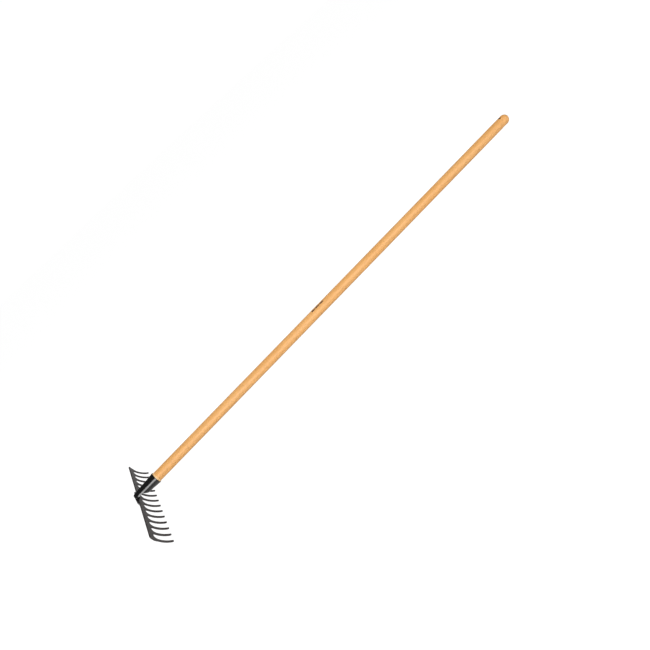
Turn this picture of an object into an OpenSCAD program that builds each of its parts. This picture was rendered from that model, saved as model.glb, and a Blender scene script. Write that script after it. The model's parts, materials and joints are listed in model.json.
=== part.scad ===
// Level-head garden rake: a fourteen-tine steel comb on a rolled socket, with a turned wooden handle.
// It rests on its tine tips and on the end of its handle. Z is up and the handle runs along +Y.
// Every piece is drawn in the tool's own frame: the handle's axis is Y, the socket's mouth is at
// y = 0 and the tines hang towards -Z. The module resting() lays the finished tool on the floor.

/* [Head] */
// Distance between the centres of the two end tines
head_w = 364; // [312:4:416]
// Number of tines
tine_count = 14; // [12:2:16]
// Height of the head, from the bar's top edge to the tips
head_h = 52; // [48:1:53]
// Height of the bar, from its top edge to the roots of the gaps
bar_h = 12.5; // [11:0.5:15]
// Thickness of the comb's steel
comb_t = 2.8; // [2:0.2:4]
// Straight height of the bar above the curve
straight_h = 4; // [3:0.5:6]
// Radius of the tines' curve, at the middle of the steel
bend_r = 64; // [60:2:80]
// Width of a tine below the root of the gap
tine_root_w = 6.4; // [5:0.2:9]
// Width of a tine at its tip
tine_tip_w = 4.6; // [3.6:0.2:5]
// Length of the bar beyond the centre of an end tine
bar_end = 7; // [5:0.5:9]
// Radius of the bar's top corners
corner_r = 4; // [3:1:10]

/* [Socket] */
// Distance from the socket's mouth to the middle of the comb's steel
head_reach = 62; // [60:1:80]
// Outside radius at the mouth
mouth_r = 15; // [14.4:0.1:15.6]
// Length of the flared mouth
flare_l = 22; // [16:1:26]
// Outside radius at the inner end of the flare
waist_r = 12.8; // [12.4:0.1:13.2]
// Outside radius in front of the comb
neck_r = 11.6; // [11.2:0.1:12]
// Outside radius at the end of the nose, over the comb
nose_r = 9; // [8:0.5:10]
// Thickness of the socket's sheet
socket_t = 1.3; // [1:0.1:1.6]
// Half the width of the foot behind the bar
foot_half_w = 36; // [32:1:46]
// Thickness of the foot
foot_t = 2; // [1.5:0.5:3]
// Length of the closed part of the tube, along its underside
closed_l = 31; // [24:1:36]
// Length over which the underside is cut away at a slant
slant_l = 13; // [10:1:18]
// Width of the open seam where the sheet's edges meet
seam_w = 0.8; // [0.6:0.1:1.5]

/* [Handle] */
// Length of the handle outside the socket
handle_l = 1349; // [1001:4:1601]
// Radius of the handle just outside the socket
handle_low_r = 12.8; // [12.5:0.1:13.2]
// Radius of the handle at its grip end
handle_top_r = 14.4; // [13.4:0.1:16]
// Depth of the handle inside the socket
tenon_l = 34; // [26:1:38]
// Radius of the hanging hole
hang_r = 3.5; // [2.5:0.5:4.5]
// Distance of the hanging hole from the end of the handle
hang_from_end = 27; // [26:1:50]
// Turn of the hanging hole away from straight up
hang_turn = 8; // [0:1:90]

/* [Hidden] */

$fn = 96;
sheet_fn = 360;
eps = 0.5;
fit = 0.05;
lap = 0.2;
steel = [0.22, 0.21, 0.21];
black = [0.07, 0.07, 0.07];
bead = [0.35, 0.34, 0.33];
zinc = [0.7, 0.7, 0.68];
wood = [0.95, 0.72, 0.45];

// comb: the bar's top edge is a little below the handle's axis
pitch = head_w / (tine_count - 1);
top_z = -2;
tip_z = top_z - head_h;
curve_z = top_z - straight_h;
curve_y = bend_r - head_reach;
inner_r = bend_r - comb_t / 2;
outer_r = bend_r + comb_t / 2;
bend_angle = asin((curve_z - tip_z) / outer_r);
bar_front_y = -head_reach + comb_t / 2;
bar_back_y = -head_reach - comb_t / 2;
end_x = head_w / 2 + bar_end;
tip_bevel_w = 1.1;
tip_bevel_h = 3;
gap_r = (pitch - tine_root_w) / 2;
gap_tip_r = (pitch - tine_tip_w) / 2;
gap_z = top_z - bar_h - gap_r;

// socket: its nose closes in over the bar and spreads into the foot
foot_y = bar_back_y - foot_t;
nose_l = 9;
nose_y = foot_y + nose_l;
foot_low_z = -11;
foot_top_x = 11;
foot_top_z = 5.5;
foot_wing_x = foot_half_w - 4;
foot_wing_z = 1;
foot_tip_r = 3.5;
// the tube's side edges behind the closed part, and the ears that stand on the bar
edge_z = 1.5;
ear_l = 6;
ear_slant = 3;

// welds
bead_r = 1.6;
ear_x = sqrt(pow(nose_at(bar_front_y), 2) - pow(top_z, 2));

// screw, on the side of the socket
screw_y = -27;
screw_r = 2;
screw_l = 15;
screw_point_l = 5;
screw_head_r = 4.2;
screw_head_h = 2.4;
screw_slot_w = 1;
screw_slot_h = 1.1;

// handle
dome_y = handle_l - handle_top_r;
hang_y = handle_l - hang_from_end;
chamfer_l = 3.5;
hang_rim = 1.2;

// the outside radius along the socket's flare, its body and its nose
function flare_at(y) = mouth_r + (mouth_r - waist_r) * y / flare_l;
function body_at(y) = neck_r + (waist_r - neck_r) * (y - nose_y) / (-flare_l - nose_y);
function nose_at(y) = nose_r + (neck_r - nose_r) * (y - foot_y) / nose_l;
screw_head_x = body_at(screw_y + screw_head_r) + fit;

// resting pose: the outer edges of the tips and the grip end touch the floor together
tip_y = curve_y - outer_r * cos(bend_angle);
span = dome_y - tip_y;
tilt = acos(handle_top_r / norm([span, tip_z])) - atan2(span, -tip_z);
lift = dome_y * sin(tilt) + handle_top_r;
back_y = foot_y * cos(tilt) + nose_r * sin(tilt);
front_y = dome_y * cos(tilt) + handle_top_r;

module resting() {
    translate([0, -(back_y + front_y) / 2, lift])
        rotate([-tilt, 0, 0])
            children();
}

// a cone along Y, with radius r0 at y0 and r1 at y1
module along_y(y0, y1, r0, r1) {
    translate([0, y0, 0])
        rotate([-90, 0, 0])
            cylinder(h = y1 - y0, r1 = r0, r2 = r1);
}

// an outline in x and z, given thickness along Y
module plate(y0, y1) {
    translate([0, y1, 0])
        rotate([90, 0, 0])
            linear_extrude(height = y1 - y0)
                children();
}

// steel sheet that is straight down to curve_z and then curves towards the handle
module curved_sheet(r, thickness, top, width) {
    translate([-width / 2, curve_y - r - thickness, curve_z])
        cube([width, thickness, top - curve_z]);
    translate([-width / 2, curve_y, curve_z])
        rotate([0, 90, 0])
            rotate([0, 0, -90])
                rotate_extrude(angle = bend_angle, $fn = sheet_fn)
                    translate([r, 0])
                        square([thickness, width]);
}

// the bar's steel with a little room round it, to cut what it passes through
module bar_room() {
    curved_sheet(inner_r - fit, comb_t + 2 * fit, top_z + fit, 3 * foot_half_w);
}

// cuts through the sheet along Y
module cut_through() {
    plate(-2 * bend_r, 2 * bend_r)
        children();
}

// the gap between two tines: a round root, then sides that open out to the tips
module gap_cut() {
    cut_through()
        translate([0, gap_z])
            circle(r = gap_r);
    cut_through()
        polygon([
            [-gap_r, gap_z],
            [gap_r, gap_z],
            [gap_tip_r, tip_z + tip_bevel_h],
            [gap_tip_r + tip_bevel_w, tip_z],
            [gap_tip_r + tip_bevel_w, tip_z - eps],
            [-gap_tip_r - tip_bevel_w, tip_z - eps],
            [-gap_tip_r - tip_bevel_w, tip_z],
            [-gap_tip_r, tip_z + tip_bevel_h]
        ]);
}

// the outside of the end tine, which slants in from the bar's end, and the bar's round corner
module end_cut() {
    root_x = (head_w + tine_root_w) / 2;
    tip_x = (head_w + tine_tip_w) / 2;
    cut_through()
        polygon([
            [end_x + eps, top_z - bar_h],
            [end_x, top_z - bar_h],
            [root_x, gap_z],
            [tip_x, tip_z + tip_bevel_h],
            [tip_x - tip_bevel_w, tip_z],
            [tip_x - tip_bevel_w, tip_z - eps],
            [end_x + eps, tip_z - eps]
        ]);
    cut_through()
        translate([end_x - corner_r, top_z - corner_r])
            difference() {
                square(corner_r + eps);
                circle(r = corner_r);
            }
}

module tine_comb() {
    color(steel)
        resting()
            difference() {
                curved_sheet(inner_r, comb_t, top_z, 2 * end_x);
                for (i = [1 : tine_count - 1])
                    translate([(i - tine_count / 2) * pitch, 0, 0])
                        gap_cut();
                for (side = [0, 1])
                    mirror([side, 0, 0])
                        end_cut();
            }
}

module foot_outline() {
    tip_x = foot_half_w - foot_tip_r;
    tip_z = foot_low_z + foot_tip_r;
    polygon([
        [-tip_x, foot_low_z],
        [tip_x, foot_low_z],
        [foot_half_w, tip_z],
        [foot_wing_x, foot_wing_z],
        [foot_top_x, foot_top_z],
        [-foot_top_x, foot_top_z],
        [-foot_wing_x, foot_wing_z],
        [-foot_half_w, tip_z]
    ]);
    for (side = [-1, 1])
        translate([side * tip_x, tip_z])
            circle(r = foot_tip_r);
}

module foot() {
    intersection() {
        curved_sheet(inner_r + comb_t, foot_t, foot_top_z + eps, 2 * foot_half_w + 2);
        plate(foot_y - eps, 0)
            foot_outline();
    }
}

// the socket's flare, body and nose from one y to another, set in by a wall's thickness
module taper(inset, back, front) {
    along_y(back, nose_y, nose_at(back) - inset, neck_r - inset);
    along_y(nose_y, -flare_l, neck_r - inset, waist_r - inset);
    along_y(-flare_l, front, waist_r - inset, flare_at(front) - inset);
}

// an outline in y and z, as wide as the tube
module across_tube() {
    translate([-2 * mouth_r, 0, 0])
        rotate([90, 0, 90])
            linear_extrude(height = 4 * mouth_r)
                children();
}

// what is cut away under the tube, behind its closed part
module open_underside() {
    ear_y = bar_front_y + ear_l;
    across_tube()
        polygon([
            [-closed_l, -2 * mouth_r],
            [-closed_l, -mouth_r],
            [-closed_l - slant_l, edge_z],
            [ear_y, edge_z],
            [ear_y - ear_slant, top_z],
            [2 * foot_y, top_z],
            [2 * foot_y, -2 * mouth_r]
        ]);
}

module socket() {
    color(black)
        resting()
            difference() {
                union() {
                    difference() {
                        taper(0, foot_y, 0);
                        open_underside();
                    }
                    foot();
                }
                bar_room();
                taper(socket_t, bar_back_y, eps);
                // seam along the underside
                translate([-seam_w / 2, -closed_l - slant_l, -2 * mouth_r])
                    cube([seam_w, closed_l + slant_l + eps, 2 * mouth_r]);
                screw_shank(screw_r + 2 * fit);
            }
}

// lies along -X, with its head on the socket's side
module screw_shank(r) {
    translate([-screw_head_x - lap, screw_y, 0])
        rotate([0, 90, 0])
            cylinder(h = screw_l + 2 * lap, r = r);
    translate([-screw_head_x + screw_l, screw_y, 0])
        rotate([0, 90, 0])
            cylinder(h = screw_point_l, r1 = r, r2 = 0.3);
}

module fixing_screw() {
    dome_r = (pow(screw_head_r, 2) + pow(screw_head_h, 2)) / (2 * screw_head_h);
    color(zinc)
        resting() {
            screw_shank(screw_r);
            translate([-screw_head_x, screw_y, 0])
                rotate([0, -90, 0])
                    difference() {
                        intersection() {
                            cylinder(h = screw_head_h + eps, r = screw_head_r);
                            translate([0, 0, screw_head_h - dome_r])
                                sphere(r = dome_r);
                        }
                        translate([-screw_slot_w / 2, -screw_head_r, screw_head_h - screw_slot_h])
                            cube([screw_slot_w, 2 * screw_head_r, screw_head_h]);
                    }
        }
}

// hanging hole with a broken edge on both sides
module hang_hole() {
    r = handle_top_r;
    translate([0, hang_y, 0])
        rotate([0, hang_turn, 0]) {
            translate([0, 0, -r - eps])
                cylinder(h = 2 * r + 2 * eps, r = hang_r);
            for (side = [0, 180])
                rotate([0, side, 0])
                    translate([0, 0, r - 2 * hang_rim])
                        cylinder(h = 2 * hang_rim, r1 = hang_r, r2 = hang_r + hang_rim);
        }
}

module handle() {
    inset = socket_t + fit;
    color(wood)
        resting()
            difference() {
                union() {
                    along_y(-tenon_l, -flare_l, body_at(-tenon_l) - inset, waist_r - inset);
                    along_y(-flare_l, 0, waist_r - inset, mouth_r - inset);
                    along_y(0, chamfer_l, mouth_r - inset, handle_low_r);
                    along_y(chamfer_l, dome_y, handle_low_r, handle_top_r);
                    translate([0, dome_y, 0])
                        sphere(r = handle_top_r);
                }
                hang_hole();
                screw_shank(screw_r + fit);
            }
}

// quarter-round bead along X, on both sides of the tube, in the corner at y, z
module bead_pair(x0, x1, y, z, turn) {
    for (side = [0, 1])
        mirror([side, 0, 0])
            translate([x0, y, z])
                rotate([turn, 0, 0])
                    rotate([90, 0, 90])
                        linear_extrude(height = x1 - x0)
                            intersection() {
                                circle(r = bead_r);
                                square(bead_r);
                            }
}

// beads under the tube's ears, on the front of the bar
module front_welds() {
    color(bead)
        resting()
            bead_pair(ear_x - 1.5, ear_x + 2.5, bar_front_y + fit, top_z - fit, -90);
}

// beads on the bar's top edge in front of the foot, and under the foot's lower edge
module rear_welds() {
    low_y = curve_y - sqrt(pow(inner_r + comb_t, 2) - pow(foot_low_z - curve_z, 2));
    color(bead)
        resting() {
            bead_pair(14, 26, bar_back_y + fit, top_z + fit, 0);
            bead_pair(16, foot_half_w - foot_tip_r, low_y - fit, foot_low_z - fit, 180);
        }
}

handle();
tine_comb();
socket();
front_welds();
rear_welds();
fixing_screw();
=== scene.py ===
"""Looks for the garden rake: materials, edges and weld beads, with a pale studio floor, lights and camera."""

import json
import math

import bmesh
import bpy
from mathutils import Matrix, Vector


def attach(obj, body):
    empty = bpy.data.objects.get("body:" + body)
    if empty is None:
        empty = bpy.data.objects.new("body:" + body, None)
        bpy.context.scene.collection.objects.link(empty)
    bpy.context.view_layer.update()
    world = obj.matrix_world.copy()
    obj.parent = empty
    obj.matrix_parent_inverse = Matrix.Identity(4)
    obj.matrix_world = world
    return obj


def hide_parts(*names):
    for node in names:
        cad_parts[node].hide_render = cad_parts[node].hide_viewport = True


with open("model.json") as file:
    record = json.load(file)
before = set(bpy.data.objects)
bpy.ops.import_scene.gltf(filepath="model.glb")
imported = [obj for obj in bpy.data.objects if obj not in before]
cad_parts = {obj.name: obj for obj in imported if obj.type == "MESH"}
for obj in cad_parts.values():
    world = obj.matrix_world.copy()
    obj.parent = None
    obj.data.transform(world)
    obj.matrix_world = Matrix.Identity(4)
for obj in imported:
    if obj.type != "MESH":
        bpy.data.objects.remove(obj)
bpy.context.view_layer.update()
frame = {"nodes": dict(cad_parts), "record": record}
nodes = frame["nodes"]
mounts = {m["name"]: m for m in frame["record"]["mounts"]}

# ---------------------------------------------------------------- the tool's own frame
# The grip mount lies on the handle's axis, this far from the socket's mouth.
GRIP_FROM_MOUTH = 1.0
axis_y = Vector(mounts["grip"]["axis"]).normalized()
mouth = Vector(mounts["grip"]["pos_m"]) - axis_y * GRIP_FROM_MOUTH
axis_x = Vector((1, 0, 0))
axis_z = axis_x.cross(axis_y)
TOOL = Matrix((axis_x, axis_y, axis_z)).transposed().to_4x4()
TOOL.translation = mouth
TO_TOOL = TOOL.inverted()
TILT = math.atan2(axis_y.z, axis_y.y)

hang = mounts["hanging_hole"]
hang_axis = TO_TOOL.to_3x3() @ Vector(hang["axis"])
hang_turn = math.atan2(hang_axis.x, hang_axis.z)
hang_y = (TO_TOOL @ Vector(hang["pos_m"])).y
hang_r = hang["dims"]["r_mm"] / 1000


# ---------------------------------------------------------------- shader helpers
class Shader:
    """A material's node tree, built one node at a time."""

    def __init__(self, name):
        self.material = bpy.data.materials.new(name)
        self.material.use_nodes = True
        self.tree = self.material.node_tree
        self.bsdf = self.tree.nodes["Principled BSDF"]

    def node(self, kind, **settings):
        n = self.tree.nodes.new(kind)
        for key, value in settings.items():
            setattr(n, key, value)
        return n

    def put(self, socket, value):
        """Links a socket, or sets a plain value."""
        if isinstance(value, bpy.types.NodeSocket):
            self.tree.links.new(value, socket)
        else:
            socket.default_value = value

    def tool_coords(self, scale=(1, 1, 1)):
        """Coordinates in the tool's own frame, in metres times scale."""
        place = self.node("ShaderNodeMapping")
        place.inputs["Rotation"].default_value = (-TILT, 0, 0)
        place.inputs["Location"].default_value = TO_TOOL.translation
        self.put(place.inputs["Vector"], self.node("ShaderNodeTexCoord").outputs["Object"])
        stretch = self.node("ShaderNodeVectorMath", operation="MULTIPLY")
        self.put(stretch.inputs[0], place.outputs["Vector"])
        stretch.inputs[1].default_value = scale
        return stretch.outputs["Vector"]

    def noise(self, coords, scale=1.0, detail=3.0, rough=0.5):
        n = self.node("ShaderNodeTexNoise")
        self.put(n.inputs["Vector"], coords)
        for key, value in (("Scale", scale), ("Detail", detail), ("Roughness", rough)):
            n.inputs[key].default_value = value
        return n.outputs["Fac"]

    def math(self, operation, a, b=0.0, c=0.0):
        n = self.node("ShaderNodeMath", operation=operation)
        for socket, value in zip(n.inputs, (a, b, c)):
            self.put(socket, value)
        return n.outputs[0]

    def remap(self, value, low, high, to_low=0.0, to_high=1.0):
        """The range low to high mapped to to_low to to_high, and held at its ends."""
        n = self.node("ShaderNodeMapRange")
        ends = {"Value": value, "From Min": low, "From Max": high, "To Min": to_low, "To Max": to_high}
        for key, v in ends.items():
            self.put(n.inputs[key], v)
        return n.outputs[0]

    def mix(self, factor, a, b):
        n = self.node("ShaderNodeMix", data_type="RGBA")
        self.put(n.inputs[0], factor)
        for socket, value in ((n.inputs[6], a), (n.inputs[7], b)):
            self.put(socket, (*value, 1) if isinstance(value, tuple) else value)
        return n.outputs[2]

    def bump(self, height, strength, distance):
        n = self.node("ShaderNodeBump")
        n.inputs["Strength"].default_value = strength
        n.inputs["Distance"].default_value = distance
        self.put(n.inputs["Height"], height)
        return n.outputs["Normal"]

    def split(self, coords):
        n = self.node("ShaderNodeSeparateXYZ")
        self.put(n.inputs[0], coords)
        return n.outputs["X"], n.outputs["Y"], n.outputs["Z"]

    def surface(self, **values):
        for key, value in values.items():
            socket = self.bsdf.inputs[key.replace("_", " ")]
            if isinstance(value, tuple):
                value = (*value, 1)
            self.put(socket, value)
        return self.material


# ---------------------------------------------------------------- materials
WOOD_WARM = (0.865, 0.435, 0.136)
WOOD_PALE = (0.90, 0.49, 0.174)
WOOD_LATE = (0.58, 0.26, 0.075)
WOOD_PORE = (0.33, 0.15, 0.05)
WOOD_CHAMFER_TONE = (0.97, 0.66, 0.33)
HOLE_PAINTED_SHADE = (0.10, 0.045, 0.018)
PRINT = (0.11, 0.06, 0.038)
PAINT_SPECK = (0.16, 0.15, 0.145)
LAYERS_PER_METRE = 330

# The pith of the tree: its X and Z at the socket's mouth, and how far it leans along the pole
PITH = (0.034, -0.021)
PITH_LEAN = (0.004, -0.006)

# The paler chamfer at the socket's mouth, and the painted shade on the hanging hole's wall and a thin rim
# round it
CHAMFER_L = 0.0035
CHAMFER_FADE = 0.0004
HOLE_SHADE_RIM = (0.0012, 0.0008)

# The printed dashes: where they begin along the handle, and how far round it they lie
MARK_START = 0.551
MARK_LENGTH = 0.043
MARK_PITCH = MARK_LENGTH / 3
MARK_DASH = 0.9
MARK_TURN = math.radians(18)
MARK_HALF_ANGLE = 0.18


def wood():
    """Varnished pale wood: growth layers cut along the pole, fine fibres and short pores."""
    s = Shader("varnished_wood")
    x, y, z = s.split(s.tool_coords())
    # growth layers are rings round the pith, which lies outside the pole and runs a little askew
    wander = s.noise(s.tool_coords((6, 1.1, 6)), 1.0, 2.0)
    px = s.math("SUBTRACT", x, s.math("MULTIPLY_ADD", y, PITH_LEAN[0], PITH[0]))
    pz = s.math("SUBTRACT", z, s.math("MULTIPLY_ADD", y, PITH_LEAN[1], PITH[1]))
    radius = s.math("SQRT", s.math("ADD", s.math("MULTIPLY", px, px), s.math("MULTIPLY", pz, pz)))
    layers = s.math("MULTIPLY", radius, LAYERS_PER_METRE)
    layer = s.math("FRACT", s.math("ADD", layers, s.math("MULTIPLY", wander, 3.2)))
    late = s.math("POWER", layer, 3.0)
    fibre = s.noise(s.tool_coords((900, 14, 900)), 1.0, 4.0, 0.6)
    fine = s.noise(s.tool_coords((2600, 60, 2600)), 1.0, 2.0, 0.6)
    pore = s.remap(s.noise(s.tool_coords((1900, 75, 1900)), 1.0, 1.0, 0.4), 0.66, 0.78)
    patch = s.noise(s.tool_coords((14, 5.5, 14)), 1.0, 2.0)
    tone = s.mix(s.remap(patch, 0.3, 0.7), WOOD_WARM, WOOD_PALE)
    tone = s.mix(s.math("MULTIPLY", late, 0.34), tone, WOOD_LATE)
    tone = s.mix(s.remap(fibre, 0.35, 0.75, 0.0, 0.30), tone, WOOD_LATE)
    tone = s.mix(s.math("MULTIPLY", pore, 0.25), tone, WOOD_PORE)
    # The chamfer at the socket's mouth is given a paler tone.
    tone = s.mix(s.remap(y, CHAMFER_L, CHAMFER_L - CHAMFER_FADE, 0.0, 0.75), tone, WOOD_CHAMFER_TONE)
    # Painted shade: the hanging hole's wall and a thin rim round it are darkened.
    from_hole = from_hanging_hole(s, x, y, z)
    tone = s.mix(s.remap(from_hole, hang_r + HOLE_SHADE_RIM[0], hang_r + HOLE_SHADE_RIM[1]), tone, HOLE_PAINTED_SHADE)
    tone = s.mix(printed_mark(s, x, y, z), tone, PRINT)
    rough = s.remap(s.noise(s.tool_coords((60, 9, 60)), 1.0, 3.0), 0.3, 0.7, 0.44, 0.58)
    fine_and_pores = s.math("MULTIPLY_ADD", fine, 0.3, s.math("MULTIPLY", pore, -0.5))
    grain = s.math("ADD", s.math("MULTIPLY", fibre, 0.7), fine_and_pores)
    return s.surface(
        Base_Color=tone,
        Roughness=rough,
        Normal=s.bump(grain, 0.35, 0.00025),
        Specular_IOR_Level=0.3,
        Coat_Weight=0.1,
        Coat_Roughness=0.45,
    )


def from_hanging_hole(s, x, y, z):
    """Distance from the axis of the hanging hole, whose wall and a thin rim round it are darkened with
    painted shade.
    """
    level_x = s.math("MULTIPLY", x, math.cos(hang_turn))
    level_z = s.math("MULTIPLY", z, math.sin(hang_turn))
    aside = s.math("SUBTRACT", level_x, level_z)
    along = s.math("SUBTRACT", y, hang_y)
    return s.math("SQRT", s.math("MULTIPLY_ADD", aside, aside, s.math("MULTIPLY", along, along)))


def printed_mark(s, x, y, z):
    """A plain printed band of dashes along the pole, with no lettering: 1 where there is ink."""
    turn = s.math("ARCTAN2", x, z)
    across = s.math("ABSOLUTE", s.math("SUBTRACT", turn, MARK_TURN))
    in_row = s.math("LESS_THAN", across, MARK_HALF_ANGLE)
    along = s.math("SUBTRACT", y, MARK_START)
    begun = s.math("GREATER_THAN", along, 0.0)
    in_band = s.math("MULTIPLY", begun, s.math("LESS_THAN", along, MARK_LENGTH))
    dash = s.math("LESS_THAN", s.math("FRACT", s.math("MULTIPLY", along, 1 / MARK_PITCH)), MARK_DASH)
    ink = s.math("MULTIPLY", s.math("MULTIPLY", in_row, in_band), dash)
    patchy = s.remap(s.noise(s.tool_coords((900, 500, 900))), 0.3, 0.6, 0.8, 1.0)
    return s.math("MULTIPLY", ink, patchy)


def painted_steel(name, base, pale, rough, coat, peel_size):
    """Sprayed paint on steel: fine orange peel, dust-fine specks, and a tone and gloss that vary a little."""
    s = Shader(name)
    peel = s.noise(s.tool_coords(), 1 / peel_size, 2.0, 0.5)
    cloud = s.noise(s.tool_coords(), 45, 4.0, 0.6)
    speck = s.remap(s.noise(s.tool_coords(), 1400, 2.0, 0.7), 0.62, 0.75)
    tone = s.mix(s.remap(cloud, 0.35, 0.7), base, pale)
    tone = s.mix(s.math("MULTIPLY", speck, 0.35), tone, PAINT_SPECK)
    return s.surface(
        Base_Color=tone,
        Roughness=s.remap(s.noise(s.tool_coords(), 120, 3.0), 0.3, 0.7, *rough),
        Normal=s.bump(peel, 0.25, 0.00012),
        Specular_IOR_Level=0.45,
        Coat_Weight=coat,
        Coat_Roughness=0.16,
    )


def zinc():
    """Zinc plate with fine marks from turning."""
    s = Shader("zinc_plate")
    turned = s.noise(s.tool_coords((300, 3000, 3000)), 1.0, 3.0)
    tone = s.mix(turned, (0.42, 0.42, 0.40), (0.66, 0.66, 0.63))
    return s.surface(
        Base_Color=tone,
        Metallic=1.0,
        Roughness=s.remap(turned, 0.3, 0.7, 0.3, 0.45),
        Normal=s.bump(turned, 0.2, 0.0001),
    )


COMB_BLACK = (0.034, 0.028, 0.028)
COMB_GREY = (0.052, 0.044, 0.044)
SOCKET_BLACK = (0.004, 0.004, 0.004)
SOCKET_GREY = (0.007, 0.007, 0.007)
WELD_BLACK = (0.012, 0.011, 0.011)
WELD_GREY = (0.03, 0.028, 0.028)

comb_paint = painted_steel(
    "comb_paint", COMB_BLACK, COMB_GREY, rough=(0.38, 0.5), coat=0.0, peel_size=0.0009
)
socket_paint = painted_steel(
    "socket_paint", SOCKET_BLACK, SOCKET_GREY, rough=(0.16, 0.24), coat=1.0, peel_size=0.0012
)
weld_paint = painted_steel(
    "weld_paint", WELD_BLACK, WELD_GREY, rough=(0.35, 0.5), coat=0.2, peel_size=0.0006
)
finish = {
    "handle": wood(),
    "tine_comb": comb_paint,
    "socket": socket_paint,
    "front_welds": weld_paint,
    "rear_welds": weld_paint,
    "fixing_screw": zinc(),
}
for name, material in finish.items():
    obj = nodes[name]
    obj.data.materials.clear()
    obj.data.materials.append(material)


# ---------------------------------------------------------------- shapes
# Points of a CAD mesh closer than this are one point.
SAME_POINT = 2e-6
SHARP_ANGLE = math.radians(40)
EDGE_WIDTHS = {"tine_comb": 0.00035, "socket": 0.00025, "handle": 0.0003, "fixing_screw": 0.0002}

# A weld bead's ripples and ends, and how finely it is drawn
RIPPLE_PITCH = 0.00125
RIPPLE_LAG = 0.0005
RIPPLE_DEPTH = 0.22
SWELL_DEPTH = 0.05
SWELL_TURNS = 900
BEAD_END = 0.0015
BEAD_BLUNT = 0.0001
BEAD_STEP = 0.00018
BEAD_ARC = 10


def break_edges(name, width):
    """Rounds a CAD node's edges a little, as pressing, tumbling and sanding leave them."""
    obj = nodes[name]
    close = obj.modifiers.new("close_faces", "WELD")
    close.merge_threshold = SAME_POINT
    edges = obj.modifiers.new("broken_edges", "BEVEL")
    edges.width = width
    edges.segments = 2
    edges.limit_method = "ANGLE"
    edges.angle_limit = SHARP_ANGLE
    obj.modifiers.new("smooth_faces", "WEIGHTED_NORMAL").keep_sharp = True


def separate_solids(name):
    """The points of each solid of a CAD node, in the tool's frame, one list a solid."""
    obj = nodes[name]
    mesh = bmesh.new()
    mesh.from_mesh(obj.data)
    mesh.transform(TO_TOOL @ obj.matrix_world)
    bmesh.ops.remove_doubles(mesh, verts=mesh.verts, dist=SAME_POINT)
    solids, seen = [], set()
    for start in mesh.verts:
        if start in seen:
            continue
        solid, to_visit = [], [start]
        seen.add(start)
        while to_visit:
            vert = to_visit.pop()
            solid.append(vert.co.copy())
            for edge in vert.link_edges:
                other = edge.other_vert(vert)
                if other not in seen:
                    seen.add(other)
                    to_visit.append(other)
        solids.append(solid)
    mesh.free()
    return solids


def bead_radius(x, x0, x1, turn):
    """The bead's radius as a share of the full one: lagging ripples, a slow swell and rounded ends."""
    phase = math.pi * (x - x0 + RIPPLE_LAG * math.sin(2 * turn)) / RIPPLE_PITCH
    ripple = 1 - RIPPLE_DEPTH * (1 - abs(math.sin(phase)) ** 0.6)
    swell = 1 - SWELL_DEPTH * (1 + math.sin(SWELL_TURNS * x + 2))
    near_end = min(1.0, (min(x - x0, x1 - x) + BEAD_BLUNT) / BEAD_END)
    return ripple * swell * math.sqrt(near_end * (2 - near_end))


def add_bead(mesh, solid):
    """A rippled weld bead in the space of one quarter-round solid that lies along X.

    The bead's root is the corner of the solid's box across from the corner that the solid doesn't reach.
    """
    low = Vector([min(p[i] for p in solid) for i in range(3)])
    high = Vector([max(p[i] for p in solid) for i in range(3)])
    corners = [(y, z) for y in (low.y, high.y) for z in (low.z, high.z)]
    empty = max(corners, key=lambda c: min(math.hypot(p.y - c[0], p.z - c[1]) for p in solid))
    root_y, root_z = low.y + high.y - empty[0], low.z + high.z - empty[1]
    full_y, full_z = empty[0] - root_y, empty[1] - root_z
    steps = round((high.x - low.x) / BEAD_STEP)
    rings = []
    for i in range(steps + 1):
        x = low.x + (high.x - low.x) * i / steps
        ring = [mesh.verts.new(TOOL @ Vector((x, root_y, root_z)))]
        for j in range(BEAD_ARC + 1):
            turn = math.pi / 2 * j / BEAD_ARC
            r = bead_radius(x, low.x, high.x, turn)
            y = root_y + full_y * r * math.cos(turn)
            z = root_z + full_z * r * math.sin(turn)
            ring.append(mesh.verts.new(TOOL @ Vector((x, y, z))))
        rings.append(ring)
    size = len(rings[0])
    for a, b in zip(rings, rings[1:]):
        for j in range(size):
            k = (j + 1) % size
            face = mesh.faces.new((a[j], a[k], b[k], b[j]))
            face.smooth = 0 < j < size - 1
    mesh.faces.new(rings[0])
    mesh.faces.new(rings[-1])


def weld_beads(name):
    """Rippled beads that stand for a node's plain ones."""
    mesh = bmesh.new()
    for solid in separate_solids(name):
        add_bead(mesh, solid)
    bmesh.ops.recalc_face_normals(mesh, faces=mesh.faces)
    data = bpy.data.meshes.new(name + "_rippled")
    mesh.to_mesh(data)
    mesh.free()
    data.materials.append(finish[name])
    piece = bpy.data.objects.new(name + "_rippled", data)
    bpy.context.scene.collection.objects.link(piece)
    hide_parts(name)
    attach(piece, "root")


for name, width in EDGE_WIDTHS.items():
    break_edges(name, width)
for name in ("front_welds", "rear_welds"):
    weld_beads(name)


# ---------------------------------------------------------------- floor, lights, camera
# Light that the camera sees, and the softer light that the floor and the room give to the tool
FLOOR_SEEN = 0.985
FLOOR_GLOW = 0.42
ROOM_SEEN = 1.02
ROOM_GLOW = 0.05
FLOOR_RADIUS = 14.0
FLOOR_GREY = (0.16, 0.16, 0.16)
FLOOR_PALE = (0.18, 0.18, 0.18)
WHITE = (1, 1, 1)

# The camera looks at a point beside the handle's axis, given in the tool's own frame.
CAMERA_AIM = (0.0159, 0.5526, -0.0342)
CAMERA_AZIMUTH = math.radians(-11.05)
CAMERA_ELEVATION = math.radians(24.78)
CAMERA_DISTANCE = 1.4837
CAMERA_ROLL = math.radians(-42.95)
CAMERA_LENS = 31.92
CAMERA_SENSOR = 36


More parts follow.
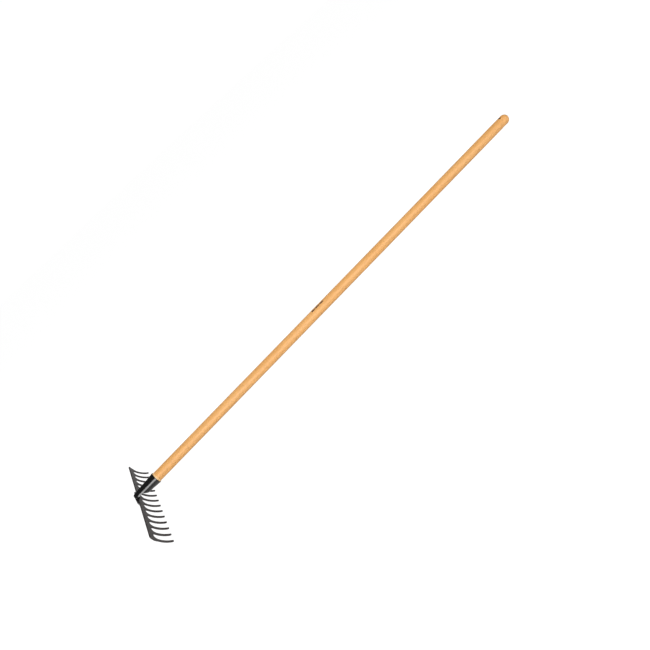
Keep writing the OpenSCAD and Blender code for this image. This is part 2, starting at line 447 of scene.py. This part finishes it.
def seen_and_given(tree, seen, given):
    """A strength that is one value for the camera and another for every other ray."""
    path = tree.nodes.new("ShaderNodeLightPath")
    pick = tree.nodes.new("ShaderNodeMath")
    pick.operation = "MULTIPLY_ADD"
    tree.links.new(path.outputs["Is Camera Ray"], pick.inputs[0])
    pick.inputs[1].default_value = seen - given
    pick.inputs[2].default_value = given
    return pick.outputs[0]


def studio_floor(radius, steps=96):
    """A round sheet of pale paper under the tool."""
    turns = [2 * math.pi * i / steps for i in range(steps)]
    mesh = bpy.data.meshes.new("floor")
    rim = [(radius * math.cos(t), radius * math.sin(t), 0) for t in turns]
    mesh.from_pydata(rim, [], [list(range(steps))])
    floor = bpy.data.objects.new("studio_floor", mesh)
    bpy.context.scene.collection.objects.link(floor)
    s = Shader("floor_paper")
    s.surface(
        Base_Color=s.mix(s.remap(s.noise(s.tool_coords(), 3.0), 0.3, 0.7), FLOOR_GREY, FLOOR_PALE),
        Roughness=0.9,
        Specular_IOR_Level=0.1,
        Emission_Color=WHITE,
        Emission_Strength=seen_and_given(s.tree, FLOOR_SEEN, FLOOR_GLOW),
    )
    mesh.materials.append(s.material)


def room():
    """The plain pale room round the floor."""
    world = bpy.data.worlds.new("studio")
    world.use_nodes = True
    background = world.node_tree.nodes["Background"]
    background.inputs["Color"].default_value = (*WHITE, 1)
    strength = seen_and_given(world.node_tree, ROOM_SEEN, ROOM_GLOW)
    world.node_tree.links.new(strength, background.inputs["Strength"])
    bpy.context.scene.world = world


def softbox(name, place, aim, width, height, radiance):
    """A rectangular light of the given brightness, with its width level."""
    light = bpy.data.lights.new(name, "AREA")
    light.shape = "RECTANGLE"
    light.size, light.size_y = width, height
    light.energy = radiance * math.pi * width * height
    obj = bpy.data.objects.new(name, light)
    obj.location = place
    obj.rotation_euler = (Vector(aim) - Vector(place)).to_track_quat("-Z", "Y").to_euler()
    bpy.context.scene.collection.objects.link(obj)
    return obj


def front_light(name, elevation, away, shift, length, height, radiance):
    """A long light on the +X side, level along the tool and moved along it by shift."""
    place = (away * math.cos(elevation), shift, away * math.sin(elevation))
    return softbox(name, place, (0, shift, 0), length, height, radiance)


def studio_camera():
    """The camera, turned about its own axis so that the tool lies across the picture."""
    back = Vector((
        math.cos(CAMERA_ELEVATION) * math.cos(CAMERA_AZIMUTH),
        math.cos(CAMERA_ELEVATION) * math.sin(CAMERA_AZIMUTH),
        math.sin(CAMERA_ELEVATION),
    ))
    data = bpy.data.cameras.new("camera")
    data.lens = CAMERA_LENS
    data.sensor_width = CAMERA_SENSOR
    camera = bpy.data.objects.new("camera", data)
    place = Matrix.Translation(TOOL @ Vector(CAMERA_AIM) + back * CAMERA_DISTANCE)
    level = back.to_track_quat("Z", "Y").to_matrix().to_4x4()
    camera.matrix_world = place @ level @ Matrix.Rotation(CAMERA_ROLL, 4, "Z")
    bpy.context.scene.collection.objects.link(camera)
    bpy.context.scene.camera = camera


studio_floor(FLOOR_RADIUS)
room()
studio_camera()

# A low light gives the gloss paint its stripe and lights no matt surface. A higher one lights the whole
# length of the tool, and two weaker ones fill the other sides. These three don't show in reflections.
stripe = front_light(
    "stripe", elevation=math.radians(13), away=2.2, shift=-0.12, length=4.4, height=1.7, radiance=4.8
)
stripe.visible_diffuse = False
front = front_light(
    "front", elevation=math.radians(31), away=2.4, shift=0.0, length=4.6, height=1.2, radiance=4.2
)
top = softbox("top", place=(-0.5, 0.0, 2.6), aim=(0, 0, 0), width=3.0, height=2.0, radiance=1.0)
rear = softbox("rear", place=(-2.6, 0.0, 1.3), aim=(0, 0, 0), width=3.6, height=1.2, radiance=2.4)
for fill in (front, top, rear):
    fill.visible_glossy = False

scene = bpy.context.scene
scene.view_settings.view_transform = "Standard"
scene.view_settings.look = "None"
